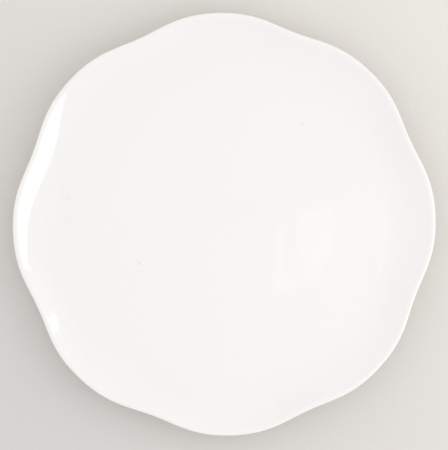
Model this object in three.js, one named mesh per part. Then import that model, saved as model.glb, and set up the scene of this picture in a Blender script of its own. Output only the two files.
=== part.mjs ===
// A coupe salad plate with an edge of eight soft lobes: a fired porcelain body with its foot ring,
// a skin of glaze over the face, the lip and the underside, and a patch of the same glaze inside the
// foot ring. The tread of the foot ring is bare and stands on the table.
// Millimetres, +Z up. The origin is the centre of the tread's plane, and one crest of the edge is on +X.

import * as THREE from 'three';

// Overall size, over the glaze
const PLATE_DIAMETER = 210; // from crest to opposite crest
const PLATE_HEIGHT = 15; // from the table to the top of the lip

// Edge
const LOBE_COUNT = 8;
const LOBE_DEPTH = 3.5; // from crest to notch, along a radius
const NOTCH_PINCH = 0.32; // second wave, which makes the crests broad and the notches narrow
const LOBE_REACH = 16.5; // from the lip's crown in to where the lobes have died out
const LIP_ROLL = 2.6; // radius of the lip towards the face, over the glaze
const LIP_EDGE = 1.1; // radius of the lip towards the outside, over the glaze
const LIP_SLOPE = THREE.MathUtils.degToRad(38); // how steeply the face meets the lip

// Face, floor and underside
const RISE_WIDTH = 25; // the border that curves up from the flat floor to the lip
const FLOOR_THICKNESS = 4.2; // the body alone, between its two skins of glaze
const UNDERSIDE_FLAT = 7; // from the foot ring out to where the underside starts to rise

// Foot ring
const FOOT_DIAMETER = 126; // outer edge of the flat tread
const FOOT_HEIGHT = 3.4; // from the tread up to the body's underside
const TREAD_WIDTH = 3;
const TREAD_ROUND = 0.6;
const FOOT_LEAN = THREE.MathUtils.degToRad(15); // the walls' lean away from upright
const ROOT_FILLET = 1.6;
const BARE_BAND = 0.5; // bare wall between the rounded tread and the glaze

// Glaze
const GLAZE_THICKNESS = 0.3;

// Facets
const FACETS_PER_LOBE = 10;
const RISE_STEPS = 6;
const UNDERSIDE_STEPS = 4;
const LIP_ROLL_STEPS = 2;
const LIP_EDGE_STEPS = 5;
const FILLET_STEPS = 2;

const point = (radius, height) => new THREE.Vector2(radius, height);

// The profile's skeleton, in the plane of radius and height, at the mean radius of the edge
const edgeRadius = PLATE_DIAMETER / 2 - LOBE_DEPTH / 2 + NOTCH_PINCH;
const crownRadius = edgeRadius - LIP_EDGE;
const floorHeight = FOOT_HEIGHT + FLOOR_THICKNESS;

// Points of a round stretch, its ends included
function arc(centre, radius, from, to, steps) {
  const points = [];
  for (let i = 0; i <= steps; i++) {
    const angle = THREE.MathUtils.lerp(from, to, i / steps);
    points.push(point(centre.x + radius * Math.cos(angle), centre.y + radius * Math.sin(angle)));
  }
  return points;
}

// A stretch that leaves a flat smoothly and rises to its end, where it has the lip's slope
function rise(start, end, steps) {
  const run = end.x - start.x;
  const climb = end.y - start.y;
  const power = (Math.tan(LIP_SLOPE) * run) / climb;
  const points = [];
  for (let i = 0; i <= steps; i++) {
    const share = i / steps;
    points.push(point(start.x + run * share, start.y + climb * share ** power));
  }
  return points;
}

// The outer side of the foot ring: the rounded edge of the tread, a leaning wall and the fillet at its root
const treadMiddle = FOOT_DIAMETER / 2 - TREAD_WIDTH / 2;
const treadEdge = arc(
  point(FOOT_DIAMETER / 2, TREAD_ROUND), TREAD_ROUND, -Math.PI / 2, -FOOT_LEAN, FILLET_STEPS,
);
const wallFoot = treadEdge[FILLET_STEPS];
const wallAt = (height) => point(wallFoot.x + (height - wallFoot.y) * Math.tan(FOOT_LEAN), height);
const glazeLine = wallAt(wallFoot.y + BARE_BAND);
const filletHeight = FOOT_HEIGHT - ROOT_FILLET;
const wallTop = wallAt(filletHeight + ROOT_FILLET * Math.sin(FOOT_LEAN));
const filletCentre = point(wallTop.x + ROOT_FILLET * Math.cos(FOOT_LEAN), filletHeight);
const rootFillet = arc(filletCentre, ROOT_FILLET, Math.PI - FOOT_LEAN, Math.PI / 2, FILLET_STEPS);

// The inner side of the foot ring is the outer one seen in a mirror
const mirrored = (points) => points.map((p) => point(2 * treadMiddle - p.x, p.y)).reverse();

// The body's profile in three stretches, from the middle of the underside round to the middle of the face
const bareStretch = [...mirrored([...treadEdge, glazeLine]), ...treadEdge, glazeLine];
const wellStretch = [point(0, FOOT_HEIGHT), ...mirrored([glazeLine, ...rootFillet])];
const lipEdge = arc(
  point(crownRadius, PLATE_HEIGHT - LIP_EDGE), LIP_EDGE - GLAZE_THICKNESS,
  LIP_SLOPE - Math.PI / 2, Math.PI / 2, LIP_EDGE_STEPS,
);
const lipRoll = arc(
  point(crownRadius, PLATE_HEIGHT - LIP_ROLL), LIP_ROLL - GLAZE_THICKNESS,
  Math.PI / 2, LIP_SLOPE + Math.PI / 2, LIP_ROLL_STEPS,
);
const undersideStart = point(filletCentre.x + UNDERSIDE_FLAT, FOOT_HEIGHT);
const undersideEnd = lipEdge[0];
const faceEnd = lipRoll[LIP_ROLL_STEPS];
const faceStart = point(faceEnd.x - RISE_WIDTH, floorHeight);
const coatStretch = [
  glazeLine,
  ...rootFillet,
  ...rise(undersideStart, undersideEnd, UNDERSIDE_STEPS).slice(0, -1),
  ...lipEdge,
  ...lipRoll.slice(1),
  ...rise(faceStart, faceEnd, RISE_STEPS).slice(0, -1).reverse(),
  point(0, floorHeight),
];

// A stretch moved out square to itself by the thickness of the glaze
function glazed(stretch) {
  const normals = stretch.slice(1).map((p, i) => {
    const along = p.clone().sub(stretch[i]).normalize();
    return point(along.y, -along.x);
  });
  return stretch.map((p, i) => {
    const before = normals[Math.max(i - 1, 0)];
    const after = normals[Math.min(i, normals.length - 1)];
    const reach = GLAZE_THICKNESS / (1 + before.dot(after));
    return p.clone().addScaledVector(before, reach).addScaledVector(after, reach);
  });
}

// How far the edge's wave stands out of its mean radius
function lobe(angle) {
  const wave = LOBE_COUNT * angle;
  return (LOBE_DEPTH / 2) * Math.cos(wave) - NOTCH_PINCH * Math.cos(2 * wave);
}

// Turns a profile about Z and waves it: not at all inside the border, fully at the lip
function turn(profile) {
  const geometry = new THREE.LatheGeometry(profile, LOBE_COUNT * FACETS_PER_LOBE);
  geometry.rotateX(Math.PI / 2);
  const position = geometry.attributes.position;
  for (let i = 0; i < position.count; i++) {
    const x = position.getX(i);
    const y = position.getY(i);
    const radius = Math.hypot(x, y);
    const share = THREE.MathUtils.smoothstep(radius, crownRadius - LOBE_REACH, crownRadius);
    if (share > 0) {
      const scale = 1 + (share * lobe(Math.atan2(y, x))) / radius;
      position.setXY(i, x * scale, y * scale);
    }
  }
  geometry.computeVertexNormals();
  return geometry;
}

// Splits each four-sided facet along its other diagonal, so that the glaze's inner face, which runs the
// other way along the profile, lies on the body's own triangles
function otherDiagonals(geometry) {
  const index = geometry.index;
  for (let i = 0; i < index.count; i += 6) {
    const [a, b, d, c] = [0, 1, 2, 3].map((corner) => index.getX(i + corner));
    [a, b, c, a, c, d].forEach((vertex, corner) => index.setX(i + corner, vertex));
  }
  return geometry;
}

const plate = new THREE.Group();

function add(name, geometry, material) {
  const mesh = new THREE.Mesh(geometry, material);
  mesh.name = name;
  plate.add(mesh);
}

// Fired porcelain: white, fine and matt where it is bare
add(
  'porcelain_body',
  turn([...wellStretch, ...bareStretch.slice(1, -1), ...coatStretch]),
  new THREE.MeshStandardMaterial({ color: 0xece8e0, roughness: 0.75, metalness: 0 }),
);

// Glaze over the face, the lip and the underside, down to the foot ring's outer wall
add(
  'glaze_coat',
  otherDiagonals(turn([...coatStretch.toReversed(), ...glazed(coatStretch)])),
  new THREE.MeshStandardMaterial({ color: 0xf6f5f2, roughness: 0.08, metalness: 0 }),
);

// Glaze inside the foot ring
add(
  'foot_well_glaze',
  otherDiagonals(turn([...glazed(wellStretch), ...wellStretch.toReversed()])),
  new THREE.MeshStandardMaterial({ color: 0xf4f3f0, roughness: 0.1, metalness: 0 }),
);

export default plate;
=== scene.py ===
import math

import bmesh
import bpy
from mathutils import Matrix, Vector


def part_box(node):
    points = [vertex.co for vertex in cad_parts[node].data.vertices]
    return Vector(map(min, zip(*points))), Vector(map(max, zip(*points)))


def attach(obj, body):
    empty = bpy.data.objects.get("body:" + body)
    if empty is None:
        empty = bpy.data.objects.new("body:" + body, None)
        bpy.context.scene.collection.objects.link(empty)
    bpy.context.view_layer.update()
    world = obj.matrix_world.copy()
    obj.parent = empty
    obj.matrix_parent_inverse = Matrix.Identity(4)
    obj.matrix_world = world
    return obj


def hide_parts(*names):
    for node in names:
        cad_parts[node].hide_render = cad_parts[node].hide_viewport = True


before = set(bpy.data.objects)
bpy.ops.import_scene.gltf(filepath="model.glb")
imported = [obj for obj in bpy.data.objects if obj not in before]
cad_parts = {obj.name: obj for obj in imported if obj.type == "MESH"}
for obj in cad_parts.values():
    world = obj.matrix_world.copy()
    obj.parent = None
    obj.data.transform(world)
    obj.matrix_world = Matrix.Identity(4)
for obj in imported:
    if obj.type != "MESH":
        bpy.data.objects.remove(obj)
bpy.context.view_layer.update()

# Porcelain body
# One piece of white clay, pressed on a lobed mould with its foot ring and fired hard. Glaze covers
# all of it but the tread of the foot ring, which is wiped clean so that it can't stick in the kiln.

mm = 0.001
coat_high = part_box("glaze_coat")[1]
crest_radius = coat_high.x
plate_height = coat_high.z
lobe_count = 8
lobe_depth = 3.5 * mm  # from crest to notch, along a radius
notch_pinch = 0.32 * mm  # second wave, which makes the crests broad and the notches narrow
lobe_reach = 16.5 * mm  # from the lip's crown in to where the lobes have died out
lip_roll = 2.6 * mm  # radius of the lip towards the face, over the glaze
lip_edge = 1.1 * mm  # radius of the lip towards the outside, over the glaze
lip_slope = math.radians(38)  # how steeply the face meets the lip
rise_width = 25 * mm  # the border that curves up from the flat floor to the lip
floor_thickness = 4.2 * mm  # the clay alone, between its two skins of glaze
underside_flat = 7 * mm  # from the foot ring out to where the underside starts to rise
foot_radius = 63 * mm  # outer edge of the flat tread
foot_height = 3.4 * mm  # from the tread up to the clay's underside
tread_width = 3 * mm
tread_round = 0.6 * mm
foot_lean = math.radians(15)  # the walls' lean away from upright
root_fillet = 1.6 * mm
bare_band = 0.5 * mm  # bare wall between the rounded tread and the glaze
glaze_thickness = 0.3 * mm

steps_per_lobe = 40
tread_steps = 6
fillet_steps = 8
underside_steps = 30
lip_edge_steps = 20
lip_roll_steps = 10
face_steps = 40
well_rings = 5
floor_rings = 6
weld_distance = 0.001 * mm

edge_radius = crest_radius - lobe_depth / 2 + notch_pinch
crown = Vector((edge_radius - lip_edge, plate_height))
floor_height = foot_height + floor_thickness
tread_middle = foot_radius - tread_width / 2


def arc(centre, radius, start, end, steps):
    """Points of a round stretch of the outline, its ends included."""
    turns = [start + (end - start) * i / steps for i in range(steps + 1)]
    return [centre + radius * Vector((math.cos(t), math.sin(t))) for t in turns]


def rising_curve(start, end, steps):
    """A stretch that leaves a flat smoothly and rises to its end, where it has the lip's slope."""
    run, climb = end - start
    power = math.tan(lip_slope) * run / climb
    shares = [i / steps for i in range(steps + 1)]
    return [start + Vector((run * s, climb * s**power)) for s in shares]


def inner_side(line):
    """A line of the foot ring's outer side, mirrored to the ring's inner side."""
    return [Vector((2 * tread_middle - p.x, p.y)) for p in reversed(line)]


def flat_rings(radius, height, rings):
    """Points of a flat, from its middle out to the last ring before its edge."""
    return [Vector((radius * i / rings, height)) for i in range(rings)]


# Outer side of the foot ring: the rounded edge of the tread, the leaning wall and the fillet at its root
tread_edge = arc(
    Vector((foot_radius, tread_round)), tread_round, -math.pi / 2, -foot_lean, tread_steps
)
wall_foot = tread_edge[-1]
wall_up = Vector((math.tan(foot_lean), 1))
glaze_line = wall_foot + wall_up * bare_band
fillet_height = foot_height - root_fillet
wall_height = fillet_height + root_fillet * math.sin(foot_lean) - wall_foot.y
wall_top = wall_foot + wall_up * wall_height
fillet_centre = Vector((wall_top.x + root_fillet * math.cos(foot_lean), fillet_height))
root = arc(fillet_centre, root_fillet, math.pi - foot_lean, math.pi / 2, fillet_steps)
well_radius = 2 * tread_middle - fillet_centre.x

# The clay's outline in three stretches, from the middle of the underside round to the middle of the face
well_line = flat_rings(well_radius, foot_height, well_rings) + inner_side([glaze_line] + root)
bare_line = inner_side(tread_edge) + tread_edge
lip = arc(
    crown - Vector((0, lip_edge)), lip_edge - glaze_thickness,
    lip_slope - math.pi / 2, math.pi / 2, lip_edge_steps,
)
lip += arc(
    crown - Vector((0, lip_roll)), lip_roll - glaze_thickness,
    math.pi / 2, math.pi / 2 + lip_slope, lip_roll_steps,
)[1:]
underside_start = Vector((fillet_centre.x + underside_flat, foot_height))
face_start = Vector((lip[-1].x - rise_width, floor_height))
coat_line = [glaze_line] + root
coat_line += rising_curve(underside_start, lip[0], underside_steps)[:-1] + lip
coat_line += rising_curve(face_start, lip[-1], face_steps)[-2::-1]
coat_line += flat_rings(face_start.x, floor_height, floor_rings)[::-1]


def finished(name, shape, material):
    """Makes an object of a shape, in its material."""
    mesh = bpy.data.meshes.new(name)
    shape.to_mesh(mesh)
    shape.free()
    mesh.materials.append(material)
    piece = bpy.data.objects.new(name, mesh)
    bpy.context.scene.collection.objects.link(piece)
    return piece


def turn(name, outline, material):
    """Turns an outline about the plate's axis and presses the lobes into its edge."""
    shape = bmesh.new()
    verts = [shape.verts.new((p.x, 0, p.y)) for p in outline]
    edges = [shape.edges.new(pair) for pair in zip(verts, verts[1:])]
    bmesh.ops.spin(
        shape, geom=verts + edges, cent=(0, 0, 0), axis=(0, 0, 1),
        angle=2 * math.pi, steps=steps_per_lobe * lobe_count, use_merge=True,
    )
    bmesh.ops.remove_doubles(shape, verts=shape.verts, dist=weld_distance)
    bmesh.ops.recalc_face_normals(shape, faces=shape.faces)
    for vert in shape.verts:
        radius = vert.co.xy.length
        share = min(max(1 - (crown.x - radius) / lobe_reach, 0), 1)
        wave = lobe_count * math.atan2(vert.co.y, vert.co.x)
        lobe = lobe_depth / 2 * math.cos(wave) - notch_pinch * math.cos(2 * wave)
        if share > 0:
            vert.co.xy *= 1 + share**2 * (3 - 2 * share) * lobe / radius
    for face in shape.faces:
        face.smooth = True
    return finished(name, shape, material)


def add_node(material, kind, inputs, **settings):
    """Adds a shader node, with each input given as a value or as another node's output."""
    tree = material.node_tree
    node = tree.nodes.new("ShaderNode" + kind)
    for name, value in settings.items():
        setattr(node, name, value)
    for name, value in inputs.items():
        if isinstance(value, bpy.types.NodeSocket):
            tree.links.new(value, node.inputs[name])
        else:
            node.inputs[name].default_value = value
    return node


def new_material(name):
    """An empty material, and the place on the object that its patterns follow."""
    material = bpy.data.materials.new(name)
    material.use_nodes = True
    material.node_tree.nodes.clear()
    place = add_node(material, "TexCoord", {}).outputs["Object"]
    return material, place


def mottle(material, place, scale, detail):
    """Soft spots at random, finer where the scale is larger."""
    spots = add_node(material, "TexNoise", {"Vector": place, "Scale": scale, "Detail": detail})
    return spots.outputs["Fac"]


def calculate(material, operation, *values):
    return add_node(material, "Math", dict(enumerate(values)), operation=operation).outputs[0]


def distance_from_axis(material, place):
    across = add_node(material, "VectorMath", {0: place, 1: (1, 1, 0)}, operation="MULTIPLY")
    length = add_node(material, "VectorMath", {0: across.outputs[0]}, operation="LENGTH")
    return length.outputs["Value"]


def ramp(material, value, start, end, low=0, high=1, easing="LINEAR"):
    """A number that goes from low to high while a value goes from start to end."""
    limits = {"From Min": start, "From Max": end, "To Min": low, "To Max": high}
    node = add_node(material, "MapRange", {"Value": value, **limits}, interpolation_type=easing)
    return node.outputs[0]


def mix_colours(material, share, first, second):
    mixed = add_node(material, "Mix", {0: share, 6: first, 7: second}, data_type="RGBA")
    return mixed.outputs[2]


def relief(material, pattern, depth, strength=1, under=None):
    """Raises and sinks the surface by a pattern, on top of another relief where one is given."""
    inputs = {"Height": pattern, "Distance": depth, "Strength": strength}
    if under is not None:
        inputs["Normal"] = under
    return add_node(material, "Bump", inputs).outputs[0]


def finish_material(material, **sockets):
    inputs = {name.replace("_", " "): value for name, value in sockets.items()}
    shader = add_node(material, "BsdfPrincipled", inputs)
    add_node(material, "OutputMaterial", {"Surface": shader.outputs[0]})


clay_cream = (0.80, 0.765, 0.70, 1)
clay_white = (0.87, 0.845, 0.80, 1)
clay_speckle = (0.60, 0.56, 0.49, 1)
bare_clay, place = new_material("bare_clay")
grain = mottle(bare_clay, place, scale=2600, detail=3)
cloud = mottle(bare_clay, place, scale=70, detail=4)
wiped_rings = add_node(
    bare_clay, "TexNoise", {"W": distance_from_axis(bare_clay, place), "Scale": 3500, "Detail": 2},
    noise_dimensions="1D",
).outputs["Fac"]
speckled = ramp(bare_clay, grain, start=0.58, end=0.78, high=0.35)
clay_colour = mix_colours(bare_clay, cloud, clay_cream, clay_white)
clay_colour = mix_colours(bare_clay, speckled, clay_colour, clay_speckle)
clay_roughness = ramp(bare_clay, cloud, start=0, end=1, low=0.62, high=0.86)
clay_relief = calculate(bare_clay, "ADD", grain, wiped_rings)
finish_material(
    bare_clay, Base_Color=clay_colour, Roughness=clay_roughness,
    Normal=relief(bare_clay, clay_relief, depth=0.03 * mm, strength=0.6),
)

body = turn("porcelain_body_fired", well_line + bare_line + coat_line, bare_clay)
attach(body, "root")
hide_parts("porcelain_body")

# Glaze coat
# A skin of white glass, fused on in the kiln over the face, round the lip and down the underside to
# the foot ring. It runs thin and creamy over the lip, pools at the foot, and holds a few iron specks.

bead_steps = 6
thin_lip = 0.6 * mm  # from the top of the lip down to where the glaze has its full thickness
lip_cream = (0.91, 0.892, 0.855, 1)
pool_reach = 2.5 * mm  # from the middle of a pooled ring to its edge
pool_full = 4.5 * mm  # up to this height the pooled tint is full
pool_gone = 5.5 * mm  # from this height up there is none
iron_brown = (0.30, 0.28, 0.25, 1)
iron_specks = [  # place on the face, radius and strength
    (-43.0 * mm, -17.9 * mm, 1.5 * mm, 0.17),
    (-44.1 * mm, -16.4 * mm, 1.2 * mm, 0.07),
    (40.7 * mm, 48.4 * mm, 1.7 * mm, 0.06),
    (6.2 * mm, 17.6 * mm, 1.2 * mm, 0.03),
    (-77.3 * mm, 15.4 * mm, 1.4 * mm, 0.06),
]


def laid_over(line):
    """A line moved out square to itself by the thickness of the glaze."""
    along = [(after - before).normalized() for before, after in zip(line, line[1:])]
    normals = [Vector((a.y, -a.x)) for a in along]
    pairs = zip(line, normals[:1] + normals, normals + normals[-1:])
    return [p + (a + b) * glaze_thickness / (1 + a.dot(b)) for p, a, b in pairs]


def glaze(name, white, shade, pool, pool_radius, specks):
    """White glass with slow waves and faint clouds in it, and a ring where it pooled at the foot."""
    material, place = new_material(name)
    height = add_node(material, "SeparateXYZ", {0: place}).outputs["Z"]
    cloud = mottle(material, place, scale=22, detail=3)
    colour = mix_colours(material, cloud, shade, white)
    off_pool = calculate(material, "SUBTRACT", distance_from_axis(material, place), pool_radius)
    off_pool = calculate(material, "ABSOLUTE", off_pool)
    in_pool = ramp(material, off_pool, start=pool_reach, end=0, high=0.5, easing="SMOOTHSTEP")
    low_down = ramp(material, height, start=pool_gone, end=pool_full)
    pooled = calculate(material, "MULTIPLY", in_pool, low_down)
    colour = mix_colours(material, pooled, colour, pool)
    on_lip = ramp(
        material, height, start=plate_height - thin_lip, end=plate_height, high=0.6,
        easing="SMOOTHSTEP",
    )
    colour = mix_colours(material, on_lip, colour, lip_cream)
    for x, y, radius, strength in specks:
        middle = (x, y, floor_height + glaze_thickness)
        away = add_node(material, "VectorMath", {0: place, 1: middle}, operation="DISTANCE")
        in_speck = ramp(
            material, away.outputs["Value"], start=radius, end=0, high=strength, easing="SMOOTHSTEP"
        )
        colour = mix_colours(material, in_speck, colour, iron_brown)
    slow = mottle(material, place, scale=60, detail=1)
    fine = mottle(material, place, scale=420, detail=1)
    waves = relief(material, slow, depth=0.03 * mm)
    peel = relief(material, fine, depth=0.0006 * mm, under=waves)
    roughness = ramp(material, cloud, start=0, end=1, low=0.012, high=0.03)
    finish_material(material, Base_Color=colour, Roughness=roughness, IOR=1.8, Normal=peel)
    return material


# The round edge in which the glaze ends on the foot ring, from the clay out to the skin
glaze_bead = arc(glaze_line, glaze_thickness, -math.pi / 2 - foot_lean, -foot_lean, bead_steps)[:-1]

face_glaze = glaze(
    "face_glaze", white=(0.915, 0.904, 0.889, 1), shade=(0.895, 0.886, 0.871, 1),
    pool=(0.80, 0.815, 0.79, 1), pool_radius=fillet_centre.x, specks=iron_specks,
)
coat = turn("glaze_coat_fused", coat_line[::-1] + glaze_bead + laid_over(coat_line), face_glaze)
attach(coat, "root")
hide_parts("glaze_coat")

# Foot well glaze
# The round patch of the same glaze inside the foot ring, parted from the rest by the bare tread. It
# is brushed a little less evenly than the face, and pools where the ring meets the underside.

well_glaze = glaze(
    "well_glaze", white=(0.905, 0.897, 0.878, 1), shade=(0.88, 0.874, 0.855, 1),
    pool=(0.79, 0.805, 0.78, 1), pool_radius=well_radius, specks=[],
)
well = turn(
    "foot_well_glaze_fused",
    laid_over(well_line) + inner_side(glaze_bead) + well_line[::-1],
    well_glaze,
)
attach(well, "root")
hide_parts("foot_well_glaze")

# Table
# A large round sheet of pale, slightly warm paper under the plate, with painted shade: its colour is
# painted greyer towards the near left, where less light falls. It is the stage, and no part of the
# object.

table_radius = 4
table_corners = 128
paper_painted_shade = (0.670, 0.655, 0.633, 1)
paper_painted_light = (0.799, 0.770, 0.727, 1)
paper, place = new_material("table_paper")
toward_far_right = add_node(
    paper, "VectorMath", {0: place, 1: (0.5, 0.5, 0)}, operation="DOT_PRODUCT"
).outputs["Value"]
# Painted light and shade: the paper's colour goes from grey at the near left to pale at the far right,
# standing in for the light falling off across the table.
painted_light_share = ramp(paper, toward_far_right, start=-crest_radius, end=crest_radius)
paper_colour_with_painted_light = mix_colours(paper, painted_light_share, paper_painted_shade, paper_painted_light)
fibre = mottle(paper, place, scale=900, detail=4)
finish_material(
    paper, Base_Color=paper_colour_with_painted_light, Roughness=0.85,
    Normal=relief(paper, fibre, depth=0.02 * mm, strength=0.3),
)
sheet = bmesh.new()
bmesh.ops.create_circle(sheet, cap_ends=True, segments=table_corners, radius=table_radius)
table = finished("table", sheet, paper)

# Camera
# Straight above the plate, which lies turned by two degrees in the picture, with its middle a touch
# above and to the right of the picture's.

picture_height_px = 450
crest_radius_px = 211.6
plate_right_px = 0.23
plate_up_px = 0.76
picture_turn = math.radians(2)
camera_above = 1.2
px = crest_radius / crest_radius_px
right = Vector((math.cos(picture_turn), -math.sin(picture_turn), 0))
up = Vector((math.sin(picture_turn), math.cos(picture_turn), 0))
camera_data = bpy.data.cameras.new("camera")
camera_data.sensor_width = 36
camera_data.lens = camera_data.sensor_width * camera_above / (picture_height_px * px)
camera = bpy.data.objects.new("camera", camera_data)
camera.location = -(right * plate_right_px + up * plate_up_px) * px
camera.location.z = plate_height + camera_above
camera.rotation_euler.z = -picture_turn
bpy.context.scene.collection.objects.link(camera)
bpy.context.scene.camera = camera

# Lamps
# A soft box low on the right draws the white streak on the left of the border, and a slim lamp beside
# it draws the spot below the streak. Small lamps overhead show faintly on the right of the floor. The
# room is evenly bright, and its four walls glow a little.

soft_box_away = 0.604
slim_lamp_away = 0.618
lamp_white = (1, 0.99, 0.975)
overhead_yellow = (1, 0.97, 0.45)
overhead_radiance = 0.3
even_light = 0.846
wall_falloff = 2
room_white = (1, 1, 1, 1)


def pointing(turn_deg, from_upright_deg):
    """A direction, given as the picture shows it: turned from its right side and leaned from upright."""
    turn_angle = math.radians(turn_deg) - picture_turn
    lean = math.radians(from_upright_deg)
    level = Vector((math.cos(turn_angle), math.sin(turn_angle), 0))
    return level * math.sin(lean) + Vector((0, 0, math.cos(lean)))


def panel_lamp(name, place, back, side, width, height, radiance, colour):
    """A lamp at a place, with its back turned one way and its width laid along another."""
    side = (side - back * side.dot(back)).normalized()
    data = bpy.data.lights.new(name, "AREA")
    data.shape = "RECTANGLE"
    data.size = width
    data.size_y = height
    data.color = colour
    data.energy = radiance * math.pi * width * height
    lamp = bpy.data.objects.new(name, data)
    lamp.matrix_world = Matrix((side, back.cross(side), back)).transposed().to_4x4()
    lamp.location = place
    bpy.context.scene.collection.objects.link(lamp)


lamps_back = pointing(-0.1, 72.3)
panel_lamp(
    "soft_box", place=pointing(-9.8, 57.2) * soft_box_away, back=lamps_back,
    side=pointing(73.8, 131.1), width=0.467, height=0.403, radiance=1.04, colour=lamp_white,
)
panel_lamp(
    "strip_lamp", place=pointing(20.2, 62) * slim_lamp_away, back=lamps_back,
    side=pointing(180, 17.7), width=0.199, height=0.022, radiance=1.1, colour=lamp_white,
)
overhead = Vector((0, 0, 1))
for name, x_mm, y_mm, width_mm, height_mm in (
    ("overhead_lamp", 92, -8, 39, 50),
    ("overhead_lamp_neck", 88, -43.5, 19, 21),
    ("overhead_pole", 57.5, -15, 5, 66),
    ("overhead_pole_foot", 59, -56, 21, 15),
):
    panel_lamp(
        name, place=(right * x_mm + up * y_mm) * mm + overhead * camera.location.z, back=overhead,
        side=right, width=width_mm * mm, height=height_mm * mm, radiance=overhead_radiance,
        colour=overhead_yellow,
    )

room = bpy.data.worlds.new("bright_room")
bpy.context.scene.world = room
room.use_nodes = True
room.node_tree.nodes.clear()
looking = add_node(room, "TexCoord", {}).outputs["Generated"]
looking_axes = add_node(room, "SeparateXYZ", {0: looking})
room_light = even_light
for axis, side, wall_light in (("X", -1, 0.33), ("X", 1, 0.25), ("Y", 1, 0.2), ("Y", -1, 0.14)):
    toward_wall = ramp(room, looking_axes.outputs[axis], start=0, end=side)
    glow = calculate(room, "POWER", toward_wall, wall_falloff)
    room_light = calculate(room, "MULTIPLY_ADD", glow, wall_light, room_light)
walls = add_node(room, "Background", {"Color": room_white, "Strength": room_light})
add_node(room, "OutputWorld", {"Surface": walls.outputs[0]})

bpy.context.scene.view_settings.view_transform = "Standard"
